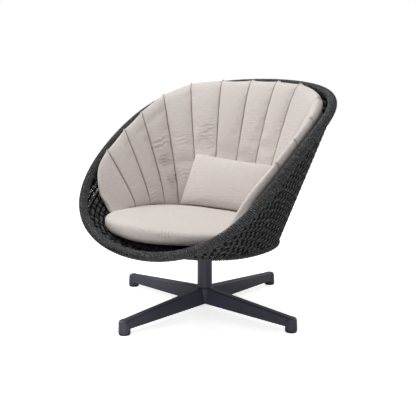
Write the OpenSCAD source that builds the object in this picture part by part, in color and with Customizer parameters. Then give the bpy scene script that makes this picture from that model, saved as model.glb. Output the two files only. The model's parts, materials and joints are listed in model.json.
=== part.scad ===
// Swivel lounge chair: a bucket shell of woven rope on a four-arm base.
// Origin on the floor under the swivel axis, +X to the sitter's left, +Y to the back, +Z up.
// The shell's places are given by a turn t round the bucket: 0 is the front, 180 the back.

/* [Width] */
// Width of the seat cushion; the bucket is made to it
seat_w = 582; // [540:2:620]

/* [Rim of the shell] */
// How much wider the rim is than the seat cushion, across the tube's centre line
rim_spread = 252; // [236:2:280]
rim_w = seat_w + rim_spread;
// Reach of the rim in front of the swivel axis
rim_front = 360; // [350:2:380]
// Reach of the rim behind the swivel axis
rim_back = 366; // [356:2:386]
// Height of the rim at the front
rim_low = 268; // [262:1:276]
// Height of the rim at the back
rim_high = 812; // [790:2:840]
// Rise of the rim's sides above the straight line from front to back
rim_bow = 67; // [55:1:75]
// How far forwards the widest place of the rim lies
rim_forward = 25.6; // [15:0.2:32]
// How square the rim is in plan
rim_square = 0.085; // [0.06:0.005:0.1]
// How far the rim's fullest place is set back, as a share of its width
rim_fullness = 0.02; // [0:0.005:0.03]
// How much the rim levels off at the front and back, in plan
rim_ease = 5.5; // [2:0.5:8]
// How much the rim's slope eases at the front and back
rim_dip = 3.3; // [0:0.3:6]
// Diameter of the rim tube
rim_tube_d = 22; // [20:1:25]

/* [Seat ring] */
// How much narrower the ring is than the seat cushion, across the tube's centre line
ring_tuck = 38; // [30:1:40]
ring_w = seat_w - ring_tuck;
// Reach of the ring in front of the swivel axis
ring_front = 262; // [250:2:276]
// Reach of the ring behind the swivel axis
ring_back = 207; // [190:1:220]
// Height of the ring's centre line
ring_z = 262; // [250:1:264]
// How square the ring is in plan
ring_square = 0.05; // [0.02:0.005:0.08]
// Diameter of the ring's tube
ring_tube_d = 18; // [18:1:20]

/* [Ribs and rope] */
// Diameter of the rope that is wound and woven
rope_d = 6; // [5:0.5:6.5]
// Number of ribs between the ring and the rim
rib_count = 12; // [8:1:14]
// Diameter of a rib
rib_d = 8; // [6:0.5:8]
// Place of the first rib, as a turn from the front
rib_start = 15; // [10:1:20]
// How far the ribs stand outside the tubes' centre lines
rib_out = 4; // [3:0.5:4.5]
// Thickness of the woven wall
weave_t = 18; // [16:0.5:20]
// Thickness of the woven seat deck
deck_t = 8; // [6:0.5:10]

/* [Seat frame] */
// Width of a crossbar
bar_w = 30; // [24:1:40]
// Height of a crossbar
bar_h = 12; // [10:1:14]
// Distance between the crossbars' centre lines
bar_span = 140; // [120:2:160]
// Width of the square swivel plate
plate_w = 180; // [174:2:200]
// Thickness of the swivel plate
plate_t = 5; // [4:0.5:8]
// Corner radius of the swivel plate
plate_r = 14; // [6:1:20]
// Distance between the plate bolts along a crossbar
bolt_span = 130; // [110:2:140]
// Diameter of the plate bolts
bolt_d = 8; // [6:1:9]
// Height of a plate bolt's head
bolt_head_h = 4; // [3:0.5:5]
// Thickness of a plate washer
plate_washer_t = 1.6; // [1.2:0.1:2]

/* [Swivel] */
// Diameter of the spindle
spindle_d = 30; // [26:1:32]
// Outer diameter of the column
column_d = 54; // [50:1:60]
// Wall of the column tube
column_wall = 4; // [3:0.5:5]
// Length of a bush inside the column
bush_len = 36; // [25:1:50]
// Thickness of the bushes' flanges
bush_flange = 2; // [1.5:0.1:3]
// Thickness of the thrust washer
thrust_t = 2.2; // [1.5:0.1:3]
// Height of the collar that is welded under the plate
collar_h = 12; // [8:1:16]
// Thickness of the washer under the hub
hub_washer_t = 2.2; // [1.5:0.1:3]
// Thickness of the spring clip under the hub
clip_t = 2; // [1.5:0.1:2.5]
// Depth of the spindle's groove for the clip
groove_depth = 1.8; // [1:0.1:2.5]

/* [Base] */
// Turn of the base under the shell, as it stands
base_turn = -3.56; // [-45:0.01:45]
// Distance from the swivel axis to the middle of a foot
foot_reach = 391; // [360:1:420]
// Diameter of a foot at its bottom
foot_d = 42; // [38:1:46]
// Diameter of a foot at its top
foot_top_d = 38; // [34:1:44]
// Height of the underside of the arms
arm_under = 20; // [18:1:24]
// Height of an arm's top at the hub
arm_top = 78; // [74:1:84]
// Height of an arm's top at its foot
arm_end = 50; // [46:1:60]
// Width of an arm's top face
arm_top_w = 30; // [26:1:34]
// Width of an arm at the hub's underside
arm_root_w = 47; // [42:1:50]
// Rounding of an arm's top edges
arm_round = 7; // [4:0.5:9]
// Wall of the hollow arms
arm_wall = 6; // [5:0.5:8]
// Outer diameter of the hub
hub_d = 64; // [64:1:70]
// Thickness of the hub's floor
hub_floor = 14; // [10:1:18]
// Depth of the recess under the hub
hub_recess = 12; // [11:1:16]
// Height of the gap between a foot and the floor
foot_gap = 6; // [5:0.5:8]
// Diameter of a glide
glide_d = 39; // [34:1:42]
// Thickness of a glide's disc
glide_t = 4.4; // [3.5:0.1:5]
// Diameter of a glide's stem
glide_stem_d = 8; // [6:1:10]
// Length of a glide's stem above its disc
glide_stem_h = 22; // [16:1:26]

/* [Seat cushion] */
// Reach of the seat cushion in front of the swivel axis
seat_front = 314; // [296:2:320]
// Reach of the seat cushion behind the swivel axis
seat_back = 124; // [110:2:134]
// Height of the seat cushion's widest place
seat_edge_z = 342; // [338:1:344]
// Height of the seat cushion's crown
seat_top_z = 364; // [360:1:376]
// How square the seat cushion is in plan
seat_square = 2.9; // [2.2:0.1:3]
// How square the seat cushion is at its underside
seat_under_square = 2.2; // [2:0.1:2.3]

/* [Back cushion] */
// Places of the seams, as turns from the front up to the middle of the back
seam_turns = [78, 92, 107, 127, 150, 166, 180];
// Turn at which the cushion's front corners lie
back_end = 48; // [46:1:54]
// Thickness of the back cushion at the middle of the back
back_pad = 80; // [70:1:86]
// Thickness of the back cushion at its front corners
back_pad_end = 32; // [24:1:36]
// Reach of the top edge from the wall at the middle of the back
back_lip = 97; // [88:1:100]
// Reach of the top edge from the wall at the first seam
back_lip_end = 44; // [32:1:48]
// Height of the cushion's lower edge beside the seat cushion
back_low_side = 348; // [346:1:366]
// Height of the cushion's lower edge behind the seat cushion
back_low = 300; // [290:1:320]
// How far the top edge falls away towards the wall
back_fall = 22; // [10:1:30]
// How far each panel stands out between its seams
panel_puff = 9; // [4:0.5:12]
// How far the top edge dips between two seams
panel_dip = 4; // [2:0.5:10]

/* [Lumbar pillow] */
// Width of the pillow
pillow_w = 376; // [340:2:400]
// Height of the pillow along its lean
pillow_h = 192; // [180:2:196]
// Thickness of the pillow at its middle
pillow_t = 80; // [70:2:90]
// Lean of the pillow from upright
pillow_lean = 27; // [20:1:32]
// Distance of the pillow's middle behind the swivel axis
pillow_y = 111; // [100:1:114]
// Height of the pillow's middle
pillow_z = 441.5; // [441.5:0.5:460]
// How far the pillow's sides draw in between its corners
pillow_draw = 0.05; // [0.02:0.01:0.08]

/* [Fit] */
// Clearance between pieces that touch
gap = 0.3; // [0.2:0.05:0.4]
// Clearance of a running fit, on the radius
run = 0.05; // [0.02:0.01:0.1]

/* [Hidden] */
$fn = 64;
turns_n = 72;
rim_r = rim_tube_d / 2;
ring_r = ring_tube_d / 2;
rib_r = rib_d / 2;
rim_wrap_r = rim_r + rope_d;
ring_wrap_r = ring_r + rope_d;
weave_out = rib_out + weave_t / 2;
weave_in = rib_out - weave_t / 2;

bar_top = ring_z + bar_h / 2;
bar_under = ring_z - bar_h / 2;
deck_under = bar_top + gap;
deck_top = deck_under + deck_t;
plate_under = bar_under - plate_t;
collar_under = plate_under - collar_h;
thrust_under = collar_under - gap - thrust_t;
column_top = thrust_under - bush_flange;
column_r = column_d / 2;
column_in_r = column_r - column_wall;
spindle_r = spindle_d / 2;
hub_r = hub_d / 2;
floor_under = arm_under + hub_recess;
floor_top = floor_under + hub_floor;
floor_bore_r = spindle_r + 4;
recess_r = hub_r - 9;
washer_top = floor_under - gap;
washer_under = washer_top - hub_washer_t;
clip_top = washer_under - gap;
clip_under = clip_top - clip_t;
spindle_under = clip_under - 2;
groove_r = spindle_r - groove_depth;
clip_mouth = spindle_r;
bolt_r = bolt_d / 2;
bolt_seat = plate_under - plate_washer_t;
hub_bevel = 4;
foot_edge = 1;
foot_round = foot_top_d / 4;
glide_neck_r = glide_d / 2 - 5;

// Sides of the swept tubes and of the rope wound on them
tube_sides = 10;
wrap_sides = 12;
weave_steps = 6;
// How far a flat of the wall stands in from its true curve
wall_facet = 2.8;
// Points round the seat cushion, and how round its edge is
seat_n = 40;
seat_edge_round = 0.72;
// Stretch of the wall over which the back cushion's lower edge drops behind the seat cushion
low_from = 105;
low_to = 150;
// Height of the back cushion's seams over the rim, at the back, the third seam and the first
back_over = -12;
back_over_side = 15;
back_over_end = 12;
back_end_curve = 7;
// Points round the back cushion's section, and how round its edges are
back_sides = 16;
back_edge_round = 0.4;
panel_steps = 4;
pillow_sides = 24;
pillow_edge = 1.5;

// Names of the ribs, rib_01 on from the front
function rib_name(i) = str("rib_", i < 10 ? "0" : "", i);

function unit(v) = v / norm(v);
function mix(a, b, s) = a + (b - a) * s;
function ease(x) = let (s = min(1, max(0, x))) s * s * (3 - 2 * s);
function curve(x, e) = sign(x) * pow(abs(x), e);

// Centre lines of the rim and of the ring
function rim_pt(t) = [
    rim_w / 2 * (sin(t) - rim_fullness * sin(2 * t) + rim_square * sin(3 * t)) / (1 - rim_square),
    (rim_back - rim_front) / 2 - (rim_back + rim_front) / 2 * cos(t)
        + rim_forward * (cos(2 * t) - 1) / 2 + rim_ease * (cos(3 * t) - cos(t)),
    (rim_high + rim_low) / 2 - (rim_high - rim_low) / 2 * cos(t)
        + rim_bow * (1 - cos(2 * t)) / 2 - rim_dip * (cos(3 * t) - cos(t))];
function ring_pt(t) = [
    ring_w / 2 * (sin(t) + ring_square * sin(3 * t)) / (1 - ring_square),
    (ring_back - ring_front) / 2 - (ring_back + ring_front) / 2 * cos(t),
    ring_z];
function rim_run(t) = unit(rim_pt(t + 1) - rim_pt(t - 1));
function ring_run(t) = unit(ring_pt(t + 1) - ring_pt(t - 1));

// The wall is straight from the ring to the rim: its direction, its length and its outward normal
function wall_up(t) = unit(rim_pt(t) - ring_pt(t));
function wall_len(t) = norm(rim_pt(t) - ring_pt(t));
function wall_out(t) =
    unit(cross(rim_pt(t + 1) - rim_pt(t - 1) + ring_pt(t + 1) - ring_pt(t - 1), wall_up(t)));
// A point at a height h along the wall, a distance out from the centre lines
function wall_pt(t, h, out) = ring_pt(t) + wall_up(t) * h + wall_out(t) * out;
// How far along u a line that lies a distance out along o leaves a tube of radius r
function across(v, run_dir) = v - (v * run_dir) * run_dir;
function leave(o, u, out, r) =
    let (a = u * u, b = out * (o * u), c = out * out * (o * o) - r * r)
    (sqrt(max(0, b * b - a * c)) - b) / a;
// Heights at which a line on the wall, a distance out, comes clear of each tube
function past_ring(t, out, r) =
    leave(across(wall_out(t), ring_run(t)), across(wall_up(t), ring_run(t)), out, r);
function past_rim(t, out, r) =
    wall_len(t) - leave(across(wall_out(t), rim_run(t)), across(-wall_up(t), rim_run(t)), out, r);

// Circle of points round a tube's centre line
function tube_ring(p, run_dir, up, r, sides) =
    let (a = unit(cross(run_dir, up)), b = cross(run_dir, a))
    [for (k = [0 : sides - 1]) p + r * (cos(360 * k / sides) * a + sin(360 * k / sides) * b)];

// Points on an arc, turned by w from b towards a
function arc_pts(p, a, b, r, from, to, n) =
    [for (k = [0 : n]) let (w = mix(from, to, k / n)) p + r * (sin(w) * a + cos(w) * b)];

// Section of the rope wound on a tube, left open on the side of the wall where the ribs pass
function wrap_ring(p, run_dir, up, side, r) =
    let (a = unit(cross(run_dir, up)), b = side * cross(a, run_dir),
         bore = (r + gap) / cos(180 / tube_sides), skin = r + rope_d,
         near = rib_out - rib_r - 2 * gap, far = rib_out + rib_r + 2 * gap,
         loop = concat(
             arc_pts(p, a, b, skin, asin(far / skin), 360 + asin(near / skin), wrap_sides),
             arc_pts(p, a, b, bore, 360 + asin(near / bore), asin(far / bore), tube_sides)))
    side > 0 ? loop : [for (i = [len(loop) - 1 : -1 : 0]) loop[i]];

// Triangles over rows of points, each row a closed loop
function band_faces(rows, cols, wrap) = [
    for (i = [0 : rows - (wrap ? 1 : 2)], j = [0 : cols - 1])
        let (n = (i + 1) % rows, k = (j + 1) % cols)
        for (f = [[i * cols + j, n * cols + k, i * cols + k], [i * cols + j, n * cols + j, n * cols + k]])
            f];
// A fan from the last point but one, or the last, onto the first or the last row
function fan_faces(cols, first, pole, flip) = [
    for (j = [0 : cols - 1])
        let (a = first + j, b = first + (j + 1) % cols) flip ? [pole, b, a] : [pole, a, b]];

module closed_sweep(rows) {
    polyhedron([for (row = rows) each row], band_faces(len(rows), len(rows[0]), true));
}

// Rows of points closed at both ends by a single point
module capped_sweep(rows, start, end) {
    cols = len(rows[0]);
    count = len(rows) * cols;
    polyhedron(
        concat([for (row = rows) each row], [start, end]),
        concat(band_faces(len(rows), cols, false), fan_faces(cols, 0, count, false),
               fan_faces(cols, count - cols, count + 1, true)));
}

module rim_sweep(r, sides) {
    closed_sweep([for (i = [0 : turns_n - 1]) let (t = 360 * i / turns_n)
        tube_ring(rim_pt(t), rim_run(t), wall_up(t), r, sides)]);
}

module ring_sweep(r, sides) {
    closed_sweep([for (i = [0 : turns_n - 1]) let (t = 360 * i / turns_n)
        tube_ring(ring_pt(t), ring_run(t), wall_up(t), r, sides)]);
}

module rod(a, b, r) {
    v = b - a;
    translate(a) rotate([0, acos(v.z / norm(v)), atan2(v.y, v.x)]) cylinder(h = norm(v), r = r);
}

function rib_turn(i) = rib_start + 360 * (i - 1) / rib_count;

// A rib stops where its nearest edge meets each tube
function rib_stop(t, run_dir, r) =
    let (s = norm(cross(run_dir, wall_up(t))), c = abs(run_dir * wall_up(t)))
    (r + gap + rib_r * c) / s;

module rib_rod(i, r, extra) {
    t = rib_turn(i);
    rod(wall_pt(t, rib_stop(t, ring_run(t), ring_r) - extra, rib_out),
        wall_pt(t, wall_len(t) - rib_stop(t, rim_run(t), rim_r) + extra, rib_out), r);
}

module rib_holes() {
    for (i = [1 : rib_count]) rib_rod(i, rib_r + gap, rib_r);
}

// Outline of the ring in plan, moved inwards
function ring_outline(inset) = [
    for (i = [0 : turns_n - 1])
        let (t = 360 * i / turns_n, p = ring_pt(t), n = unit(cross(ring_run(t), [0, 0, 1])))
        [p.x - n.x * inset, p.y - n.y * inset]];

module place_bolts() {
    for (x = [-1, 1], y = [-1, 1]) translate([x * bolt_span / 2, y * bar_span / 2, 0]) children();
}

module rounded_square(w, r) {
    square([w - 2 * r, w], center = true);
    square([w, w - 2 * r], center = true);
    for (x = [-1, 1], y = [-1, 1]) translate([x, y] * (w / 2 - r)) circle(r);
}

// Half of an arm's section, from the middle of its top down one side
function arm_side(w, deep, r) =
    let (draft = (arm_root_w - arm_top_w) / 2 / (arm_top - arm_under), low = w / 2 + draft * deep)
    concat([for (a = [90 : -18 : 0]) [w / 2 - r + r * cos(a), -r + r * sin(a)]], [[low, -deep]]);

function arm_section(w, deep, r) =
    let (half = arm_side(w, deep, r))
    concat(half, [for (i = [len(half) - 1 : -1 : 0]) [-half[i].x, half[i].y]]);

// A length of arm between two distances from the axis, with its top lowered and its sides narrowed
module arm_length(from, to, low, drop, thin, r) {
    tilt = atan((arm_top - arm_end) / foot_reach);
    intersection() {
        translate([0, 0, arm_top - drop]) rotate([0, tilt, 0]) rotate([90, 0, 90])
            linear_extrude(foot_reach * 1.05) polygon(arm_section(arm_top_w - thin, arm_top, r));
        translate([from, -arm_root_w, low]) cube([to - from, 2 * arm_root_w, arm_top]);
    }
}

module on_each_arm() {
    for (i = [0 : 3]) rotate(base_turn + 90 * i) children();
}

module foot() {
    translate([foot_reach, 0, 0]) rotate_extrude() polygon(concat(
        [[0, foot_gap], [foot_d / 2 - foot_edge, foot_gap], [foot_d / 2, foot_gap + foot_edge]],
        [for (a = [0 : 15 : 90])
            [foot_top_d / 2 - foot_round + foot_round * cos(a), arm_end - foot_round + foot_round * sin(a)]],
        [[0, arm_end]]));
}

module hub() {
    rotate_extrude() polygon([[0, arm_under], [hub_r, arm_under], [hub_r, arm_top - hub_bevel],
        [column_r + gap, arm_top], [0, arm_top]]);
}

module bored(low, high, r) {
    translate([0, 0, low]) cylinder(h = high - low, r = r);
}

module star_base() color([0.17, 0.175, 0.2]) difference() {
    union() {
        hub();
        on_each_arm() {
            arm_length(0, foot_reach, arm_under, 0, 0, arm_round);
            foot();
        }
    }
    on_each_arm() {
        arm_length(hub_r + arm_wall, foot_reach - foot_d / 2 - arm_wall, 0, arm_wall, 2 * arm_wall, 2);
        translate([foot_reach, 0, 0]) bored(0, foot_gap + glide_stem_h + gap, glide_stem_d / 2 + run);
    }
    bored(0, floor_under, recess_r);
    bored(0, arm_top, floor_bore_r);
    bored(floor_top, arm_top + 1, column_r + run);
}

module glide(i) color([0.1, 0.1, 0.11]) rotate(base_turn + 90 * i) translate([foot_reach, 0, 0])
    rotate_extrude() polygon([[0, 0], [glide_d / 2 - 1, 0], [glide_d / 2, 1], [glide_d / 2, glide_t - 1],
        [glide_d / 2 - 1, glide_t], [glide_neck_r, glide_t], [glide_neck_r, foot_gap],
        [glide_stem_d / 2, foot_gap], [glide_stem_d / 2, foot_gap + glide_stem_h],
        [0, foot_gap + glide_stem_h]]);

module pipe(low, high, outer, inner) {
    difference() {
        bored(low, high, outer);
        bored(low - 1, high + 1, inner);
    }
}

module column_tube() color([0.17, 0.175, 0.2]) pipe(floor_top, column_top, column_r, column_in_r);

module lower_bush() color([0.85, 0.85, 0.82]) difference() {
    union() {
        bored(floor_under, floor_top, floor_bore_r - run);
        bored(floor_top, floor_top + bush_flange, column_in_r - gap);
    }
    bored(0, arm_top, spindle_r + run);
}

module upper_bush() color([0.85, 0.85, 0.82]) difference() {
    union() {
        bored(column_top - bush_len, column_top, column_in_r - run);
        bored(column_top, thrust_under, column_r - 1);
    }
    bored(0, plate_under, spindle_r + run);
}

module thrust_washer() color([0.72, 0.6, 0.35])
    pipe(thrust_under, thrust_under + thrust_t, column_r - 1, spindle_r + gap);

module spindle() color([0.6, 0.61, 0.63]) difference() {
    bored(spindle_under, plate_under, spindle_r);
    pipe(clip_under - gap / 2, clip_top + gap / 2, spindle_r + 1, groove_r);
}

module spindle_washer() color([0.6, 0.61, 0.63])
    pipe(washer_under, washer_top, recess_r - 1, spindle_r + gap);

module spindle_clip() color([0.35, 0.35, 0.37]) difference() {
    pipe(clip_under, clip_top, recess_r - 3, groove_r + run);
    translate([0, -clip_mouth / 2, clip_under - 1]) cube([hub_r, clip_mouth, clip_t + 2]);
}

module swivel_collar() color([0.17, 0.175, 0.2]) pipe(collar_under, plate_under, column_r, spindle_r + run);

module swivel_plate() color([0.2, 0.2, 0.22]) difference() {
    translate([0, 0, plate_under]) linear_extrude(plate_t) rounded_square(plate_w, plate_r);
    place_bolts() bored(0, bar_top, bolt_r + gap);
}

module plate_bolts() color([0.6, 0.61, 0.63]) place_bolts() {
    bored(bolt_seat, bar_top, bolt_r);
    translate([0, 0, bolt_seat - bolt_head_h]) cylinder(h = bolt_head_h, r = bolt_r * 1.7, $fn = 6);
}

module plate_washers() color([0.6, 0.61, 0.63])
    place_bolts() pipe(bolt_seat, plate_under, bolt_r * 2, bolt_r + gap);

// A crossbar follows the ring's tube at its ends
module crossbar(side, more) {
    intersection() {
        translate([0, side * bar_span / 2, ring_z])
            cube([rim_w, bar_w + 2 * more, bar_h + 2 * more], center = true);
        translate([0, 0, bar_under - more]) linear_extrude(bar_h + 2 * more)
            polygon(ring_outline(ring_r + gap - 2 * more));
    }
}

module drilled_crossbar(side) color([0.2, 0.2, 0.22]) difference() {
    crossbar(side, 0);
    place_bolts() bored(0, bar_top + 1, bolt_r + run);
}

module seat_ring() color([0.2, 0.2, 0.22]) ring_sweep(ring_r, tube_sides);

module rim_tube() color([0.2, 0.2, 0.22]) rim_sweep(rim_r, tube_sides);

module rib(i) color([0.2, 0.2, 0.22]) rib_rod(i, rib_r, 0);

module ring_lashing() color([0.2, 0.205, 0.215]) difference() {
    closed_sweep([for (i = [0 : turns_n - 1]) let (t = 360 * i / turns_n)
        wrap_ring(ring_pt(t), ring_run(t), wall_up(t), 1, ring_r)]);
    for (side = [-1, 1]) crossbar(side, gap);
}

module rim_lashing() color([0.24, 0.245, 0.255])
    closed_sweep([for (i = [0 : turns_n - 1]) let (t = 360 * i / turns_n)
        wrap_ring(rim_pt(t), rim_run(t), wall_up(t), -1, rim_r)]);

// Cross-section of the woven wall at a turn t, fitted between the two lashings
function weave_section(t) =
    let (outs = [for (k = [0 : weave_steps]) mix(weave_in, weave_out, k / weave_steps)])
    concat(
        [for (k = [0 : weave_steps]) wall_pt(t, past_rim(t, outs[k], rim_wrap_r + 2 * gap), outs[k])],
        [for (k = [weave_steps : -1 : 0]) wall_pt(t, past_ring(t, outs[k], ring_wrap_r + 2 * gap), outs[k])]);

module shell_weave() color([0.2, 0.205, 0.215]) difference() {
    closed_sweep([for (i = [0 : turns_n - 1]) weave_section(360 * i / turns_n)]);
    rib_holes();
}

module seat_deck() color([0.2, 0.205, 0.215])
    translate([0, 0, deck_under]) linear_extrude(deck_t) polygon(ring_outline(ring_wrap_r + gap));

// Level curve of the seat cushion: b runs from its underside, -90, to its crown, 90
function seat_row(b) =
    let (share = pow(cos(b), seat_edge_round), rise = curve(sin(b), seat_edge_round),
         square = mix(seat_square, seat_under_square, sqrt(max(0, -rise))),
         z = seat_edge_z + rise * (b > 0 ? seat_top_z - seat_edge_z : seat_edge_z - deck_top - gap))
    [for (k = [0 : seat_n - 1]) let (a = 360 * k / seat_n) [
        seat_w / 2 * share * curve(cos(a), 2 / square),
        (seat_back - seat_front) / 2 + (seat_back + seat_front) / 2 * share * curve(sin(a), 2 / square),
        z]];

module seat_cushion() color([0.84, 0.8, 0.77])
    capped_sweep([for (b = [-75, -56, -40, -26, -13, 0, 13, 26, 40, 56, 75]) seat_row(b)],
        [0, (seat_back - seat_front) / 2, deck_top + gap],
        [0, (seat_back - seat_front) / 2, seat_top_z]);

// The back cushion lies on the wall, and everything about it is the same on both sides
function fold_turn(t) = t > 180 ? 360 - t : t;
function back_low_h(a) =
    (mix(back_low_side, back_low, ease((a - low_from) / (low_to - low_from))) - ring_z) / wall_up(a).z;
function back_top_h(a) =
    mix(wall_len(a) + mix(mix(back_over, back_over_side, ease((180 - a) / (180 - seam_turns[2]))),
            back_over_end, ease((seam_turns[2] - a) / (seam_turns[2] - seam_turns[0]))),
        back_low_h(a), pow(max(0, (seam_turns[2] - a) / (seam_turns[2] - back_end)), back_end_curve));
function back_depth(a, share) =
    mix(mix(back_pad, back_pad_end, pow((180 - a) / (180 - back_end), 2)),
        mix(back_lip_end, back_lip, ease((a - seam_turns[1]) / (180 - seam_turns[1]))), ease(share));
function back_clear(a, h) =
    mix(gap + wall_facet - weave_in, rim_wrap_r + gap + wall_facet, ease((h - wall_len(a) + 3 * rim_wrap_r) / rim_wrap_r));

// Cross-section at a turn t: a rounded slab that stands out by puff between two seams
function back_section(t, swell) =
    let (a = fold_turn(t), low = back_low_h(a), high = back_top_h(a) - panel_dip * swell)
    [for (k = [0 : back_sides - 1])
        let (u = curve(cos(360 * k / back_sides), back_edge_round),
             v = curve(sin(360 * k / back_sides), back_edge_round),
             share = (1 + v) / 2, top = high - back_fall * (1 - u) / 2 * ease((high - low) / back_pad_end / 4),
             h = mix(low, top, share),
             front = back_depth(a, share) + panel_puff * swell * pow(1 - v * v, 0.5))
        wall_pt(t, h, -mix(back_clear(a, h), front, (1 + u) / 2))];

back_knots = concat([back_end], seam_turns,
    [for (i = [len(seam_turns) - 2 : -1 : 0]) 360 - seam_turns[i]], [360 - back_end]);

module back_cushion() color([0.8, 0.755, 0.725]) {
    last = len(back_knots) - 2;
    corner = back_low_h(back_end);
    capped_sweep(
        [for (p = [0 : last], k = [0 : panel_steps - 1])
            if (p + k > 0)
                back_section(mix(back_knots[p], back_knots[p + 1], k / panel_steps),
                    pow(sin(180 * k / panel_steps), 0.6))],
        wall_pt(back_end, corner, -back_pad_end),
        wall_pt(-back_end, corner, -back_pad_end));
}

// Cross-section of the pillow at a share u of its half width
function pillow_section(u) = [
    for (k = [0 : pillow_sides - 1])
        let (a = 360 * k / pillow_sides, v = curve(cos(a), 0.8), full = pow((1 - u * u) * (1 - v * v), 0.42))
        [pillow_w / 2 * u * (1 - pillow_draw * (1 - v * v)),
         pillow_h / 2 * v * (1 - 2 * pillow_draw * (1 - u * u)),
         sign(round(1000 * sin(a))) * (pillow_edge + (pillow_t / 2 - pillow_edge) * full)]];

module lumbar_pillow() color([0.84, 0.8, 0.77])
    translate([0, pillow_y, pillow_z]) rotate([90 - pillow_lean, 0, 0])
        capped_sweep([for (u = [-0.985, -0.94, -0.86, -0.74, -0.56, -0.3, 0, 0.3, 0.56, 0.74, 0.86, 0.94, 0.985])
                pillow_section(u)],
            [-pillow_w / 2 * (1 - pillow_draw), 0, 0], [pillow_w / 2 * (1 - pillow_draw), 0, 0]);

star_base();
glide(0);  // foot_glide_left
glide(1);  // foot_glide_back
glide(2);  // foot_glide_right
glide(3);  // foot_glide_front
column_tube();
lower_bush();
upper_bush();
thrust_washer();
spindle();
spindle_washer();
spindle_clip();
swivel_collar();
swivel_plate();
plate_bolts();
plate_washers();
drilled_crossbar(-1);  // crossbar_front
drilled_crossbar(1);  // crossbar_rear
seat_ring();
rim_tube();
for (i = [1 : rib_count]) rib(i);
ring_lashing();
rim_lashing();
shell_weave();
seat_deck();
seat_cushion();
back_cushion();
lumbar_pillow();
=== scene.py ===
import json
import math
import bpy
import bmesh
import numpy as np
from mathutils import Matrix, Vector

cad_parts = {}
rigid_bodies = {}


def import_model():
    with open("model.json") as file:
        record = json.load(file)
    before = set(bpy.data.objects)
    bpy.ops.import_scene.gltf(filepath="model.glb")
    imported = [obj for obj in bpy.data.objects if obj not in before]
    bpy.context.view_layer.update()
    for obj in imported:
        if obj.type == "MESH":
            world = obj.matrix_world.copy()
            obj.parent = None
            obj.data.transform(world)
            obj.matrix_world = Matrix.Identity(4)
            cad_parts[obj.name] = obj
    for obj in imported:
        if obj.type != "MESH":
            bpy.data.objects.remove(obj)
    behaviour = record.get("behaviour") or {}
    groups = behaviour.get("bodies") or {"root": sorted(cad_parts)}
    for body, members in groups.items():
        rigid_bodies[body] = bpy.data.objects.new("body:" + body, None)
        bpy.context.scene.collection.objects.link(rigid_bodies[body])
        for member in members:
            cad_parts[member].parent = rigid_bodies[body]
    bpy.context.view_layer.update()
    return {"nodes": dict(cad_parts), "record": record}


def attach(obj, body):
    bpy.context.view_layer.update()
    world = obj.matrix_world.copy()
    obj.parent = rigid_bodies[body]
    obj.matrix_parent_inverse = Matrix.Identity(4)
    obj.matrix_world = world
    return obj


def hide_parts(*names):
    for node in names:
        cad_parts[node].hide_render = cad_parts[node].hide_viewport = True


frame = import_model()
print("frame loaded,", len(frame["nodes"]), "nodes")

scene = bpy.context.scene
scene.view_settings.view_transform = "Standard"


# Objects and their meshes

def linked(name, data):
    piece = bpy.data.objects.new(name, data)
    scene.collection.objects.link(piece)
    return piece


def evaluated(piece):
    return bpy.data.meshes.new_from_object(piece.evaluated_get(bpy.context.evaluated_depsgraph_get()))


def finished(piece):
    # the mesh that the piece's modifiers give; the piece itself goes
    mesh = evaluated(piece)
    piece.modifiers.clear()
    bpy.data.objects.remove(piece)
    return mesh


def turnTo(piece, place, forward):
    piece.location = place
    piece.rotation_euler = Vector(forward).to_track_quat("-Z", "Y").to_euler()


# Node trees. Wherever a value is taken, it may be a number, a vector or another node's socket

class Web:
    def __init__(self, tree):
        self.tree, self.nodes = tree, tree.nodes

    def plug(self, value, socket):
        if isinstance(value, bpy.types.NodeSocket):
            self.tree.links.new(value, socket)
        else:
            socket.default_value = value

    def fill(self, node, values):
        for label, value in values.items():
            self.plug(value, node.inputs[label])
        return node

    def add(self, kind, values=None, **settings):
        node = self.nodes.new(kind)
        for key, value in settings.items():
            setattr(node, key, value)
        return self.fill(node, values or {})

    def take(self, kind, values=None, **settings):
        return self.add("ShaderNode" + kind, values, **settings).outputs[0]

    def use(self, group, **values):
        return self.add("ShaderNodeGroup", values, node_tree=group).outputs

    def math(self, kind, a, b=0.0, clamp=False):
        return self.take("Math", {0: a, 1: b}, operation=kind, use_clamp=clamp)

    def vector(self, kind, a, b=(0, 0, 0)):
        return self.take("VectorMath", {0: a, 1: b}, operation=kind)

    def scaled(self, vector, factor):
        return self.take("VectorMath", {0: vector, "Scale": factor}, operation="SCALE")

    def wave(self, value):
        return self.math("ABSOLUTE", self.math("SINE", self.math("MULTIPLY", value, math.pi)))

    def noise(self, where, scale, detail):
        return self.take("TexNoise", {"Vector": where, "Scale": scale, "Detail": detail})

    def spread(self, value, low, high, newLow=0.0, newHigh=1.0):
        labels = ("Value", "From Min", "From Max", "To Min", "To Max")
        return self.take("MapRange", dict(zip(labels, (value, low, high, newLow, newHigh))))

    def numbers(self, share, a, b):
        return self.take("Mix", {0: share, 2: a, 3: b}, data_type="FLOAT")

    def colours(self, share, a, b):
        return self.add("ShaderNodeMix", {0: share, 6: a, 7: b}, data_type="RGBA").outputs[2]

    def bump(self, height, strength, distance, **more):
        return self.take("Bump", {"Height": height, "Strength": strength, "Distance": distance, **more})

    def attribute(self, name):
        return self.add("ShaderNodeAttribute", attribute_name=name).outputs["Fac"]

    def place(self):
        return self.add("ShaderNodeTexCoord").outputs["Object"]

    def map(self):
        return self.take("UVMap", uv_map="UVMap")


def addSockets(tree, way, sockets):
    return {label: tree.interface.new_socket(label, in_out=way, socket_type="NodeSocket" + kind).identifier
            for label, kind in sockets.items()}


def newMaterial(name):
    stuff = bpy.data.materials.new(name)
    stuff.use_nodes = True
    web = Web(stuff.node_tree)
    return stuff, web, web.nodes["Principled BSDF"]


# Camera and light

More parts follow.
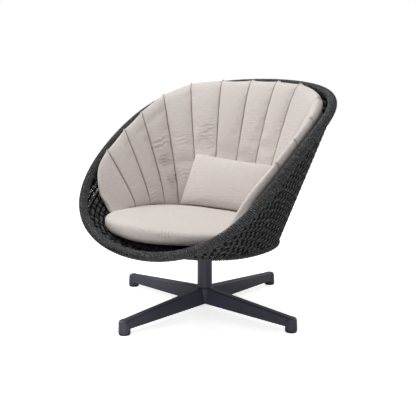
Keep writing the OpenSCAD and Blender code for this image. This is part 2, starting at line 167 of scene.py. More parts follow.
cameraLook = {
    "place": (1.5750, -1.9390, 0.8326), "forward": (-0.6163, 0.7662, -0.1821),
    "lens": 60.96, "sensor": 36.0, "near": 0.05, "far": 60,
}


def makeCamera(look):
    data = bpy.data.cameras.new("photoCamera")
    data.lens, data.sensor_width, data.sensor_fit = look["lens"], look["sensor"], "HORIZONTAL"
    data.clip_start, data.clip_end = look["near"], look["far"]
    scene.camera = linked("photoCamera", data)
    turnTo(scene.camera, look["place"], look["forward"])


studio = {
    "worldStrength": 0.30, "worldColour": (1.05, 0.995, 0.945, 1), "lampColour": (0.985, 1.0, 1.02),
    "floorRadius": 14, "floorColour": (0.93, 0.93, 0.93, 1),
    "floorGlow": 0.74,     # what brings the lit floor up to plain white for the camera
    "aim": 0.4, "spread": 180,      # height aimed at and spread, for a lamp that doesn't say
}
lamps = {
    "key": {"place": (-2.3, -1.3, 3.0), "size": 1.8, "power": 76},
    "fill": {"place": (2.6, -2.6, 1.6), "size": 2.4, "power": 4},
    "back": {"place": (1.2, 3.0, 2.6), "size": 2.2, "power": 30},
    "top": {"place": (0.1, -0.5, 3.4), "size": 2.6, "power": 52},
    "low": {"place": (1.35, -2.3, 0.22), "size": 0.5, "power": 0.55, "aim": -0.26, "spread": 21},
}
white = (1, 1, 1, 1)


def makeLamp(name, spec):
    data = bpy.data.lights.new(name, "AREA")
    data.shape, data.size, data.energy, data.color = "DISK", spec["size"], spec["power"], studio["lampColour"]
    data.spread = math.radians(spec.get("spread", studio["spread"]))
    aim = Vector((0, 0, spec.get("aim", studio["aim"]))) - Vector(spec["place"])
    turnTo(linked(name, data), spec["place"], aim)


def forCamera(web, other, seen):
    ray = web.add("ShaderNodeLightPath").outputs["Is Camera Ray"]
    return web.take("MixShader", {0: ray, 1: other, 2: seen})


def makeWorld():
    scene.world = bpy.data.worlds.new("studioWorld")
    scene.world.use_nodes = True
    web = Web(scene.world.node_tree)
    web.nodes.clear()
    lit = web.take("Background", {"Strength": studio["worldStrength"], "Color": studio["worldColour"]})
    seen = web.take("Background", {"Strength": 1.0, "Color": white})
    web.add("ShaderNodeOutputWorld", {"Surface": forCamera(web, lit, seen)})


def makeFloor():
    stuff, web, shader = newMaterial("floorPaint")
    web.fill(shader, {"Base Color": studio["floorColour"], "Roughness": 0.9, "Specular IOR Level": 0.1})
    dark, glow = (web.take("Emission", {"Color": white, "Strength": strength})
                  for strength in (0.0, studio["floorGlow"]))
    both = web.take("AddShader", {0: shader.outputs[0], 1: forCamera(web, dark, glow)})
    web.plug(both, web.nodes["Material Output"].inputs["Surface"])
    mesh = bpy.data.meshes.new("floor")
    bm = bmesh.new()
    bmesh.ops.create_circle(bm, cap_ends=True, radius=studio["floorRadius"], segments=96)
    bm.to_mesh(mesh)
    bm.free()
    mesh.materials.append(stuff)
    floor = linked("floor", mesh)


makeCamera(cameraLook)
for lampName, lampSpec in lamps.items():
    makeLamp(lampName + "Light", lampSpec)
makeWorld()
makeFloor()
print("camera and studio")


# Materials: first the groups that they share

def newGroup(name, takes, gives):
    web = Web(bpy.data.node_groups.new(name, "ShaderNodeTree"))
    addSockets(web.tree, "INPUT", takes)
    addSockets(web.tree, "OUTPUT", gives)
    return web, web.add("NodeGroupInput").outputs, web.add("NodeGroupOutput")


# Small irregular grain for a painted or moulded surface
def makeGrainGroup():
    web, start, end = newGroup("surfaceGrain", {"Place": "Vector", "Scale": "Float"},
                               {"Height": "Float", "Cloud": "Float"})
    fine = web.noise(start["Place"], start["Scale"], 3.0)
    broad = web.noise(start["Place"], web.math("MULTIPLY", start["Scale"], 0.012), 4.0)
    web.fill(end, {"Height": fine, "Cloud": web.spread(broad, 0.3, 0.7)})
    return web.tree


# Threads that cross over and under each other, on a map in metres
def makeClothGroup():
    web, start, end = newGroup("plainCloth", {"Map": "Vector", "Pitch": "Float"},
                               {"Height": "Float", "Thread": "Float", "Slub": "Float"})
    split = web.add("ShaderNodeSeparateXYZ", {0: start["Map"]}).outputs
    steps = [web.math("DIVIDE", split[axis], start["Pitch"]) for axis in ("X", "Y")]
    waves = [web.wave(value) for value in steps]
    whole = web.math("ADD", *(web.math("FLOOR", value) for value in steps))
    parity = web.math("MODULO", web.math("ABSOLUTE", whole), 2.0)
    warp, weft = (web.math("MULTIPLY", a, web.math("POWER", b, 0.4)) for a, b in (waves, waves[::-1]))
    streaks = [web.noise(web.vector("MULTIPLY", start["Map"], stretch), 1.0, 2.0)
               for stretch in ((40, 900, 1), (900, 40, 1))]
    web.fill(end, {"Height": web.numbers(parity, warp, weft), "Thread": web.numbers(parity, *streaks),
                   "Slub": web.math("MULTIPLY", web.math("ADD", *streaks), 0.5)})
    return web.tree


# A braided cord: x runs along it in metres, y goes round it from 0 to 1
def makeBraidGroup():
    web, start, end = newGroup("braidedCord", {"Map": "Vector", "Stitch": "Float", "Strands": "Float"},
                               {"Height": "Float", "GapShade": "Float"})
    split = web.add("ShaderNodeSeparateXYZ", {0: start["Map"]}).outputs
    along = web.math("DIVIDE", split["X"], start["Stitch"])
    around = web.math("MULTIPLY", split["Y"], start["Strands"])
    plait = web.math("MULTIPLY", *(web.wave(web.math(kind, along, around)) for kind in ("ADD", "SUBTRACT")))
    height = web.math("POWER", plait, 0.6)
    # the second output marks the low parts between strands, where the rope material paints shade
    web.fill(end, {"Height": height, "GapShade": web.spread(height, 0.0, 0.45, 1.0, 0.0)})
    return web.tree


grainGroup, clothGroup, braidGroup = makeGrainGroup(), makeClothGroup(), makeBraidGroup()


def opaque(colour, factor=1.0):
    return tuple(min(1, c * factor) for c in colour) + (1,)


def tones(look, *keys):
    return [opaque(look[key]) for key in keys]


# how fine the grain is, how far it takes the colour and the gloss, and how strong and deep its bump is
powder = {"grain": 900.0, "darker": 0.82, "lighter": 1.16, "glossier": 0.05, "strength": 0.35, "depth": 0.0004}
plastic = {"grain": 1600.0, "darker": 0.9, "lighter": 1.1, "glossier": 0.06, "strength": 0.2, "depth": 0.0003}


def grained(name, look, colour, rough):
    stuff, web, shader = newMaterial(name)
    group = web.use(grainGroup, Place=web.place(), Scale=look["grain"])
    cloud = group["Cloud"]
    web.fill(shader, {
        "Base Color": web.colours(cloud, opaque(colour, look["darker"]), opaque(colour, look["lighter"])),
        "Roughness": web.spread(cloud, 0.0, 1.0, rough - look["glossier"], rough + 0.06),
        "Normal": web.bump(group["Height"], look["strength"], look["depth"])})
    return stuff


def turnedMetal(name, colour, rough):
    stuff, web, shader = newMaterial(name)
    rings = web.noise(web.vector("MULTIPLY", web.place(), (60, 60, 2600)), 1.0, 3.0)
    web.fill(shader, {
        "Base Color": web.colours(rings, opaque(colour, 0.85), opaque(colour, 1.12)),
        "Metallic": 1.0,
        "Roughness": web.spread(rings, 0.2, 0.8, rough - 0.08, rough + 0.1),
        "Normal": web.bump(rings, 0.15, 0.0003)})
    return stuff


# the darkest colour is painted shade for the hollows, the crown colour a painted highlight for the crowns, and the
# flecks are partly light fibres, partly painted highlight
ropeLook = {
    "hollow": (0.003, 0.003, 0.0034), "colour": (0.030, 0.029, 0.030), "crown": (0.082, 0.081, 0.083),
    "fleckAndHighlight": (0.370, 0.364, 0.368),
    "stitch": 0.0034, "strands": 4.0, "grain": 1400.0, "tufts": 230.0,
}


def ropeMaterial():
    stuff, web, shader = newMaterial("braidedRope")
    hollow, colour, crown, fleckAndHighlight = tones(ropeLook, "hollow", "colour", "crown", "fleckAndHighlight")
    braid = web.use(braidGroup, Map=web.map(), Stitch=ropeLook["stitch"], Strands=ropeLook["strands"])
    grain = web.use(grainGroup, Place=web.place(), Scale=ropeLook["grain"])["Height"]
    tufts = web.noise(web.place(), ropeLook["tufts"], 2.0)
    rise = web.attribute("rise")
    # lighter towards the crowns: painted highlight where light falls on the rope
    base = web.colours(web.spread(rise, 0.3, 1.0), colour, crown)
    # light flecks shown only on the crowns and bright there: partly the rope's own light fibres, partly painted
    # highlight
    flecks = web.math("ADD", web.spread(grain, 0.52, 0.70, 0.0, 0.35), web.spread(tufts, 0.50, 0.69, 0.0, 0.62))
    flecked = web.colours(web.math("MULTIPLY", flecks, rise, clamp=True), base, fleckAndHighlight)
    # darker in the gaps between the braid's strands: painted shade
    gapShaded = web.colours(web.math("MULTIPLY", braid["GapShade"], 0.7), flecked, hollow)
    height = web.math("ADD", braid["Height"], web.math("MULTIPLY", grain, 0.3))
    # near black where the rise is low: painted shade in the hollows between cords and turns
    web.fill(shader, {
        "Base Color": web.colours(web.spread(rise, 0.0, 0.42, 1.0, 0.0), gapShaded, hollow),
        "Roughness": 0.85, "Specular IOR Level": 0.08,
        "Normal": web.bump(height, 0.8, 0.0007)})
    return stuff


clothLook = {
    "colour": (0.646, 0.598, 0.572), "shade": (0.530, 0.478, 0.450), "pale": (0.715, 0.672, 0.645),
    "seam": (0.205, 0.148, 0.115),
    "pitch": 0.0015, "grain": 700.0, "slubs": (60, 330, 1), "folds": (26, 150, 1),
}


def clothMaterial():
    stuff, web, shader = newMaterial("greigeCloth")
    colour, shade, pale, seam = tones(clothLook, "colour", "shade", "pale", "seam")
    uv = web.map()
    cloth = web.use(clothGroup, Map=uv, Pitch=clothLook["pitch"])
    cloud = web.use(grainGroup, Place=web.place(), Scale=clothLook["grain"])["Cloud"]
    slubs = web.noise(web.vector("MULTIPLY", uv, clothLook["slubs"]), 1.0, 2.0)
    folds = web.noise(web.vector("MULTIPLY", uv, clothLook["folds"]), 1.0, 3.0)
    threads = web.colours(web.spread(cloth["Thread"], 0.3, 0.7), shade, pale)
    base = web.colours(0.62, threads, colour)
    streaked = web.colours(web.spread(slubs, 0.35, 0.68, 0.0, 0.55), base, shade)
    mottled = web.colours(web.math("MULTIPLY", cloud, 0.22), streaked, shade)
    # darker where the threads dip: painted shade in the hollows of the weave
    hollowed = web.colours(web.spread(cloth["Height"], 0.0, 0.5, 0.28, 0.0), mottled, shade)
    # darker brown along the seams: painted shade in the seam grooves
    sewn = web.math("MULTIPLY", web.attribute("seam"), 0.85, clamp=True)
    height = web.math("ADD", cloth["Height"], web.math("MULTIPLY", cloth["Slub"], 0.8))
    fine = web.bump(height, 0.45, 0.00045)
    web.fill(shader, {
        "Base Color": web.colours(sewn, hollowed, seam),
        "Roughness": 0.86, "Specular IOR Level": 0.25, "Sheen Weight": 0.12, "Sheen Roughness": 0.45,
        "Normal": web.bump(folds, 0.55, 0.0022, Normal=fine)})
    return stuff


finishes = {
    "base_coat": grained("charcoalPowderCoat", powder, (0.043, 0.044, 0.068), 0.36),
    "frame_coat": grained("frameCoat", powder, (0.014, 0.014, 0.016), 0.5),
    "glide_plastic": grained("glidePlastic", plastic, (0.016, 0.016, 0.018), 0.55),
    "bush_plastic": grained("bushPlastic", plastic, (0.62, 0.61, 0.57), 0.45),
    "bearing_bronze": turnedMetal("bearingBronze", (0.55, 0.4, 0.2), 0.35),
    "steel": turnedMetal("zincedSteel", (0.5, 0.51, 0.53), 0.34),
    "spring_steel": turnedMetal("blackedSteel", (0.12, 0.12, 0.125), 0.4),
    "rope": ropeMaterial(),
    "cushion_fabric": clothMaterial(),
}
slotOfNode = {part["node"]: part["material_slot"] for part in frame["record"]["subparts"]}
for nodeName, nodeObject in frame["nodes"].items():
    for holder in nodeObject.material_slots:
        holder.material = finishes[slotOfNode[nodeName]]
print("materials")


# The shell: centre lines of the rim and the ring, and the straight wall between them.
# A turn t goes round from the front, over the sitter's left, and h goes up the wall from the ring

shell = {
    "rimWidth": 0.834, "rimFront": 0.360, "rimBack": 0.366, "rimLow": 0.268, "rimHigh": 0.812,
    "rimBow": 0.067, "rimForward": 0.0256, "rimSquare": 0.085, "rimFullness": 0.02,
    "rimEase": 0.0055, "rimDip": 0.0033, "rimTube": 0.022,
    "ringWidth": 0.544, "ringFront": 0.262, "ringBack": 0.207, "ringHeight": 0.262,
    "ringSquare": 0.05, "ringTube": 0.018,
    "wallOut": 0.004, "wallIn": -0.005,
    "turnStep": math.radians(1),
}


def rimPoint(t):
    s, c = np.sin(t), np.cos(t)
    k = shell["rimSquare"]
    x = shell["rimWidth"] / 2 * (s - shell["rimFullness"] * np.sin(2 * t) + k * np.sin(3 * t)) / (1 - k)
    y = ((shell["rimBack"] - shell["rimFront"]) / 2 - (shell["rimBack"] + shell["rimFront"]) / 2 * c
         + shell["rimForward"] * (np.cos(2 * t) - 1) / 2 + shell["rimEase"] * (np.cos(3 * t) - c))
    z = ((shell["rimHigh"] + shell["rimLow"]) / 2 - (shell["rimHigh"] - shell["rimLow"]) / 2 * c
         + shell["rimBow"] * (1 - np.cos(2 * t)) / 2 - shell["rimDip"] * (np.cos(3 * t) - c))
    return np.stack([x, y, z], -1)


def ringPoint(t):
    k = shell["ringSquare"]
    x = shell["ringWidth"] / 2 * (np.sin(t) + k * np.sin(3 * t)) / (1 - k)
    y = (shell["ringBack"] - shell["ringFront"]) / 2 - (shell["ringBack"] + shell["ringFront"]) / 2 * np.cos(t)
    return np.stack([x, y, shell["ringHeight"] + 0 * t], -1)


def fullTurn(count):
    return np.linspace(0, 2 * math.pi, count, endpoint=False)


def unit(v):
    return v / np.maximum(np.linalg.norm(v, axis=-1, keepdims=True), 1e-12)


def curl(x, power):
    return np.sign(x) * np.abs(x) ** power


def wallUp(t):
    return unit(rimPoint(t) - ringPoint(t))


def wallLength(t):
    return np.linalg.norm(rimPoint(t) - ringPoint(t), axis=-1)


def wallOutward(t):
    after, before = t + shell["turnStep"], t - shell["turnStep"]
    run = rimPoint(after) - rimPoint(before) + ringPoint(after) - ringPoint(before)
    return unit(np.cross(run, wallUp(t)))


def wallPoint(t, h, out):
    return ringPoint(t) + wallUp(t) * np.asarray(h)[..., None] + wallOutward(t) * np.asarray(out)[..., None]


# Mesh helpers

def readAll(items, key, width=3, kind=float):
    values = np.empty(len(items) * width, kind)
    items.foreach_get(key, values)
    return values.reshape(-1, width) if width > 1 else values


def pointsOf(mesh):
    return readAll(mesh.vertices, "co")


def normalsOf(mesh):
    return readAll(mesh.vertices, "normal")


def setPoints(mesh, points):
    mesh.vertices.foreach_set("co", np.asarray(points, float).ravel())
    mesh.update()


def setLayer(mesh, name, values, kind="FLOAT", key="value"):
    layer = mesh.attributes.new(name, kind, "POINT")
    layer.data.foreach_set(key, np.asarray(values, float).ravel())


def keepMesh(name, mesh, finish):
    piece = linked(name, mesh)
    mesh.materials.clear()
    mesh.materials.append(finishes[finish])
    mesh.polygons.foreach_set("material_index", [0] * len(mesh.polygons))
    mesh.polygons.foreach_set("use_smooth", [True] * len(mesh.polygons))
    mesh.update()
    return piece


def joinMeshes(name, meshes, finish):
    bm = bmesh.new()
    for mesh in meshes:
        bm.from_mesh(mesh)
    out = bpy.data.meshes.new(name)
    bm.to_mesh(out)
    bm.free()
    return keepMesh(name, out, finish)


def seatPiece(piece, body, slotName, *nodes):
    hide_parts(*nodes)
    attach(piece, body)
    print(piece.name, len(piece.data.polygons), "faces")


def lineMesh(name, lines, closed, outward=None, offset=None):
    points, edges, start = [], [], 0
    for line in lines:
        points.extend(line)
        edges.extend((start + i, start + i + 1) for i in range(len(line) - 1))
        if closed:
            edges.append((start + len(line) - 1, start))
        start += len(line)
    mesh = bpy.data.meshes.new(name)
    mesh.from_pydata([tuple(p) for p in points], edges, [])
    if outward is not None:
        setLayer(mesh, "outward", np.concatenate(outward), "FLOAT_VECTOR", "vector")
        setLayer(mesh, "offset", np.concatenate(offset))
    return mesh


# Geometry Nodes: a tree that sweeps a round cord along lines, and one that winds it round a tube

cordSockets = {"Cord Radius": "Float", "Sides": "Int", "Shade Low": "Float", "Shade High": "Float",
               "Material": "Material"}
windingSockets = {"Turns": "Int", "Steps": "Int", "Winding Radius": "Float", "Strand Phase": "Float",
                  "Unevenness": "Float", "Seed": "Int"}


class GeoWeb(Web):
    def __init__(self, name, takes):
        super().__init__(bpy.data.node_groups.new(name, "GeometryNodeTree"))
        self.ids = addSockets(self.tree, "INPUT", {"Geometry": "Geometry", **takes})
        addSockets(self.tree, "OUTPUT", {"Geometry": "Geometry"})
        self.start = self.add("NodeGroupInput").outputs
        self.end = self.add("NodeGroupOutput")

    def geo(self, kind, values=None, **settings):
        return self.add("GeometryNode" + kind, values, **settings).outputs[0]

    def capture(self, geometry, **items):
        node = self.add("GeometryNodeCaptureAttribute", domain="POINT")
        for label, (kind, value) in items.items():
            node.capture_items.new(kind, label)
            self.plug(value, node.inputs[label])
        self.plug(geometry, node.inputs["Geometry"])
        return node.outputs

    def store(self, geometry, name, value, kind, domain):
        return self.geo("StoreNamedAttribute", {"Geometry": geometry, "Name": name, "Value": value},
                         data_type=kind, domain=domain)


# From a curve to a closed cord with a map, along it in metres and round it from 0 to 1, and with a
# rise from 0 in the hollows to 1 on the crowns, measured along outward
def cordFromCurve(web, curve, outward, offset):
    get = web.start
    walked = web.add("GeometryNodeSplineParameter").outputs
    place = web.geo("InputPosition")
    kept = web.capture(curve, along=("FLOAT", walked["Length"]), centre=("VECTOR", place),
                       outward=("VECTOR", outward), offset=("FLOAT", offset))
    circle = web.geo("CurveArc", {
        "Resolution": web.math("ADD", get["Sides"], 1.0), "Radius": get["Cord Radius"],
        "Start Angle": 0.0, "Sweep Angle": 2 * math.pi}, mode="RADIUS")
    keptRound = web.capture(circle, around=("FLOAT", walked["Factor"]))
    swept = web.geo("CurveToMesh", {
        "Curve": kept["Geometry"], "Profile Curve": keptRound["Geometry"],
        "Scale": web.geo("InputRadius")})
    pair = web.take("CombineXYZ", {"X": kept["along"], "Y": keptRound["around"]})
    mapped = web.store(swept, "UVMap", pair, "FLOAT2", "CORNER")
    away = web.vector("SUBTRACT", place, kept["centre"])
    dot = web.add("ShaderNodeVectorMath", {0: away, 1: kept["outward"]}, operation="DOT_PRODUCT").outputs["Value"]
    reach = web.math("ABSOLUTE", web.math("ADD", dot, kept["offset"]))
    # the rope material paints shade where the rise is low and highlight where it is high
    risen = web.store(mapped, "rise", web.spread(reach, get["Shade Low"], get["Shade High"]), "FLOAT", "POINT")
    welded = web.geo("MergeByDistance", {"Geometry": risen, "Distance": 0.00002})
    painted = web.geo("SetMaterial", {"Geometry": welded, "Material": get["Material"]})
    web.plug(painted, web.end.inputs[0])


def makeLaidCordTree():
    web = GeoWeb("laidCord", cordSockets)
    curve = web.geo("MeshToCurve", {0: web.start["Geometry"]})
    # an open cord is drawn to a point at its two ends, which lie inside the lashings
    ends = web.geo("CurveEndpointSelection", {"Start Size": 1, "End Size": 1})
    loop = web.geo("InputSplineCyclic")
    openEnds = web.add("FunctionNodeBooleanMath", {0: ends, 1: loop}, operation="NIMPLY").outputs[0]
    size = web.geo("Switch", {0: openEnds, 1: 1.0, 2: 0.001}, input_type="FLOAT")
    thinned = web.geo("SetCurveRadius", {"Curve": curve, "Radius": size})
    outward, offset = (web.geo("InputNamedAttribute", {"Name": name}, data_type=kind)
                       for name, kind in (("outward", "FLOAT_VECTOR"), ("offset", "FLOAT")))
    cordFromCurve(web, thinned, outward, offset)
    return web


def makeWindingTree():
    web = GeoWeb("woundCord", {**cordSockets, **windingSockets})
    get = web.start
    curve = web.geo("MeshToCurve", {0: get["Geometry"]})
    upright = web.geo("SetCurveNormal", {"Curve": curve}, mode="Z_UP")
    count = web.math("MULTIPLY", get["Turns"], get["Steps"])
    fine = web.geo("ResampleCurve", {"Curve": upright, "Count": count}, mode="COUNT")
    turn = web.math("DIVIDE", web.geo("InputIndex"), get["Steps"])
    angle = web.math("MULTIPLY", web.math("ADD", turn, get["Strand Phase"]), 2 * math.pi)
    normal, tangent = web.geo("InputNormal"), web.geo("InputTangent")
    side = web.vector("CROSS_PRODUCT", tangent, normal)
    where = web.math("ADD", web.math("MULTIPLY", turn, 0.9), web.math("MULTIPLY", get["Seed"], 31.7))
    noise = web.take("TexNoise", {"W": where, "Scale": 1.0}, noise_dimensions="1D")
    wobble = web.math("MULTIPLY", web.math("SUBTRACT", noise, 0.5), get["Unevenness"])
    reach = web.math("ADD", get["Winding Radius"], wobble)
    up = web.scaled(normal, web.math("MULTIPLY", web.math("COSINE", angle), reach))
    across = web.scaled(side, web.math("MULTIPLY", web.math("SINE", angle), reach))
    offset = web.vector("ADD", up, across)
    before = web.capture(fine, facing=("VECTOR", web.vector("NORMALIZE", offset)))
    moved = web.geo("SetPosition", {
        "Geometry": before["Geometry"], "Offset": web.vector("ADD", offset, web.scaled(tangent, wobble))})
    even = web.geo("SetCurveRadius", {"Curve": moved, "Radius": 1.0})
    cordFromCurve(web, even, before["facing"], reach)
    return web


laidCord, woundCord = makeLaidCordTree(), makeWindingTree()


def grow(name, guide, web, settings):
    holder = linked(name + "Guide", guide)
    modifier = holder.modifiers.new("grow", "NODES")
    modifier.node_group = web.tree
    for label, value in settings.items():
        modifier[web.ids[label]] = value
    bpy.context.view_layer.update()
    mesh = finished(holder)
    mesh.name = name
    return mesh


# Rope wound on the rim and on the ring

winding = {
    "strands": 2, "apart": 0.47,     # the rope is wound double, so two cords share each turn
    "steps": 12, "sides": 6, "uneven": 0.0012, "seed": 4,
    "shadeLow": 0.0014, "shadeHigh": 0.0060, "guide": 720,
}
rimWinding = {**winding, "turns": 226, "cord": 0.0028, "tube": shell["rimTube"] / 2}
ringWinding = {**winding, "turns": 132, "cord": 0.0029, "tube": shell["ringTube"] / 2}


def windTube(name, centre, spec, node):
    meshes = []
    for strand in range(spec["strands"]):
        guide = lineMesh(name + "Line", [centre(fullTurn(spec["guide"]))], True)
        meshes.append(grow(name + str(strand), guide, woundCord, {
            "Turns": spec["turns"], "Steps": spec["steps"], "Winding Radius": spec["tube"] + spec["cord"],
            "Cord Radius": spec["cord"], "Strand Phase": spec["apart"] * strand, "Unevenness": spec["uneven"],
            "Shade Low": spec["tube"] + spec["shadeLow"], "Shade High": spec["tube"] + spec["shadeHigh"],
            "Sides": spec["sides"], "Seed": spec["seed"] + strand, "Material": finishes["rope"]}))
    seatPiece(joinMeshes(name, meshes, "rope"), "seat", "rope", node)


windTube("rimRope", rimPoint, rimWinding, "rim_lashing")
windTube("ringRope", ringPoint, ringWinding, "ring_lashing")


# The woven wall: doubled stakes from ring to rim, and doubled rows that pass over and under them

weave = {
    "stakes": 72,          # one every five degrees, so that every rib has a stake
    "ribTurn": 15, "ribStep": 30, "ribReach": 3.0,     # degrees: first rib, pitch, and how far a rib spreads rows
    "pairGap": 0.0060, "ribGap": 0.0140,
    "rowPitch": 0.020, "midShare": 0.47, "rows": range(-20, 30),
    "stakeSwing": 0.0030, "stakeStep": 0.005,
    "rowSwing": 0.0030, "rowSwingRib": 0.0058, "rowCurl": 0.75,
    "ringEdge": 0.010, "rimEdge": 0.011, "rimShadeCords": (0.001, 0.006), "ringShadeCord": 0.001, "fewest": 6,
    "cord": {"cord": 0.0029, "sides": 6, "low": 0.0003, "high": 0.0058},
    # a cord threaded through the stakes between two rows closes the holes of the weave; its shading range lies beyond
    # its reach, so it is painted near black all over as the shade seen through the holes
    "shadeCord": {"cord": 0.0043, "sides": 6, "low": 0.0200, "high": 0.0300},
}


def laidRope(name, lineSets, node, cord, sides, low, high):
    settings = {"Cord Radius": cord, "Sides": sides, "Material": finishes["rope"], "Shade Low": low, "Shade High": high}
    meshes = [grow(name, lineMesh(name + "Lines", *lines), laidCord, settings) for lines in lineSets]
    seatPiece(joinMeshes(name, meshes, "rope"), "seat", "rope", node)


def stakeLines():
    lines, outward, offset = [], [], []
    for i in range(weave["stakes"]):
        degrees = i * 360 / weave["stakes"]
        onRib = abs((degrees - weave["ribTurn"]) % weave["ribStep"]) < 0.1
        t = np.array(math.radians(degrees))
        length = float(wallLength(t))
        low, high = weave["ringEdge"], length - weave["rimEdge"]
        count = max(8, int((high - low) / weave["stakeStep"]))
        h = np.linspace(low, high, count)
        phase = (h - weave["midShare"] * length) / weave["rowPitch"]
        swing = weave["stakeSwing"] * np.cos(math.pi * phase) * (-1) ** i * (0.0 if onRib else 1.0)
        side = unit(np.cross(wallOutward(t), wallUp(t)))
        gap = (weave["ribGap"] if onRib else weave["pairGap"]) / 2
        for sign in (-1, 1):
            lines.append(wallPoint(t, h, shell["wallOut"] + swing) + side * sign * gap)
            outward.append(np.repeat(wallOutward(t)[None], count, 0))
            offset.append(swing)
    return [(lines, False, outward, offset)]


def roundLines(heights, perStake, swing, swingRib):
    # lines round the wall, whole where they fit and cut where the wall is too low for them
    openSet, closedSet = ([], False, [], []), ([], True, [], [])
    n = weave["stakes"] * perStake
    t = fullTurn(n)
    length, stake, degrees = wallLength(t), t / (2 * math.pi) * weave["stakes"], np.degrees(t)
    wave = curl(np.cos(math.pi * stake), weave["rowCurl"])
    nearRib = np.abs((degrees - weave["ribTurn"] + weave["ribStep"] / 2) % weave["ribStep"] - weave["ribStep"] / 2)
    reach = swing + (swingRib - swing) * np.clip(1 - nearRib / weave["ribReach"], 0, 1)
    facing = wallOutward(t)
    for h, sign in heights(length):
        inside = (h > weave["ringEdge"]) & (h < length - weave["rimEdge"])
        offset = -reach * wave * sign
        if inside.all():
            order, into = np.arange(n), closedSet
        elif inside.sum() > weave["fewest"]:
            order, into = (int(np.argmax(inside & ~np.roll(inside, 1))) + np.arange(inside.sum())) % n, openSet
        else:
            continue
        into[0].append(wallPoint(t, h, shell["wallOut"] + offset)[order])
        into[2].append(facing[order])
        into[3].append(offset[order])
    return openSet, closedSet


def rowHeights(length):
    for k in weave["rows"]:
        for sign in (-1, 1):
            yield weave["midShare"] * length + k * weave["rowPitch"] + sign * weave["pairGap"] / 2, (-1) ** k


def shadeCordHeights(length):
    for k in weave["rows"]:
        yield weave["midShare"] * length + (k + 0.5) * weave["rowPitch"], 1
    yield weave["ringEdge"] + weave["ringShadeCord"] + 0 * length, 1
    for below in weave["rimShadeCords"]:
        yield length - weave["rimEdge"] - below, 1


laidRope("wallStakes", stakeLines(), "shell_weave", **weave["cord"])
laidRope("wallRows", roundLines(rowHeights, 4, weave["rowSwing"], weave["rowSwingRib"]), "shell_weave",
         **weave["cord"])
# near black cords: painted shade where the holes of the weave would show
laidRope("wallShadeCord", roundLines(shadeCordHeights, 2, 0.0, 0.0), "shell_weave", **weave["shadeCord"])


# The woven deck under the seat cushion

deck = {
    "height": 0.2726, "pitch": 0.0135, "pair": 0.0056, "swing": 0.0014, "inset": 0.011, "shift": -0.027,
    "lines": range(-21, 22), "step": 0.006, "shortest": 0.05,
    "cord": {"cord": 0.0026, "sides": 5, "low": 0.0006, "high": 0.0036},
}


def deckSpan(axis, value):
    # the ends of a cord that lies across the ring at this value of one axis
    p = ringPoint(fullTurn(1440))
    q = np.roll(p, -1, 0)
    met = ((p[:, axis] - value) * (q[:, axis] - value) <= 0) & (p[:, axis] != q[:, axis])
    p, q = p[met], q[met]
    share = (value - p[:, axis]) / (q[:, axis] - p[:, axis])
    at = p[:, 1 - axis] + share * (q[:, 1 - axis] - p[:, 1 - axis])
    return (at.min() + deck["inset"], at.max() - deck["inset"]) if len(at) > 1 else (0, 0)


def deckLines():
    lines, outward, offset = [], [], []
    for axis in (0, 1):
        for k in deck["lines"]:
            for sign in (-1, 1):
                value = k * deck["pitch"] + deck["shift"] * axis + sign * deck["pair"] / 2
                low, high = deckSpan(axis, value)
                if high - low < deck["shortest"]:
                    continue
                n = max(6, int((high - low) / deck["step"]))
                v = np.linspace(low, high, n)
                wave = np.cos(math.pi * (v - deck["shift"] * (1 - axis)) / deck["pitch"]) * (-1) ** (k + axis)
                line = np.zeros((n, 3))
                line[:, axis], line[:, 1 - axis], line[:, 2] = value, v, deck["height"] + deck["swing"] * wave
                lines.append(line)
                outward.append(np.tile((0.0, 0.0, 1.0), (n, 1)))
                offset.append(line[:, 2] - deck["height"])
    return [(lines, False, outward, offset)]


laidRope("deckRope", deckLines(), "seat_deck", **deck["cord"])


# Cushions

def boxMap(mesh):
    # a flat map in metres for every face, taken along the axis that the face looks along
    axis = np.argmax(np.abs(readAll(mesh.polygons, "normal")), axis=1)
    axis = np.repeat(axis, readAll(mesh.polygons, "loop_total", 1, int))
    p = pointsOf(mesh)[readAll(mesh.loops, "vertex_index", 1, int)]
    u = np.where(axis == 0, p[:, 1], p[:, 0])
    v = np.where(axis == 2, p[:, 1], p[:, 2])
    mesh.uv_layers.new(name="UVMap").data.foreach_set("uv", np.stack([u, v], -1).ravel())


def gridMesh(name, rows, start, end):
    # rows of points, each a closed loop, closed at both ends by a point
    rows = np.asarray(rows)
    count, cols = rows.shape[:2]
    points = [tuple(p) for p in rows.reshape(-1, 3)] + [tuple(start), tuple(end)]
    loop = [(j, (j + 1) % cols) for j in range(cols)]
    faces = [(i * cols + j, i * cols + k, (i + 1) * cols + k, (i + 1) * cols + j)
             for i in range(count - 1) for j, k in loop]
    last = (count - 1) * cols
    for j, k in loop:
        faces += [(count * cols, k, j), (count * cols + 1, last + j, last + k)]
    mesh = bpy.data.meshes.new(name)
    mesh.from_pydata(points, [], faces)
    bm = bmesh.new()
    bm.from_mesh(mesh)
    bmesh.ops.remove_doubles(bm, verts=bm.verts, dist=1e-5)
    bmesh.ops.recalc_face_normals(bm, faces=bm.faces)
    bm.to_mesh(mesh)
    bm.free()
    return mesh


clothRun = {"quality": 5, "mass": 0.3, "tension_stiffness": 25, "compression_stiffness": 25, "shear_stiffness": 12}


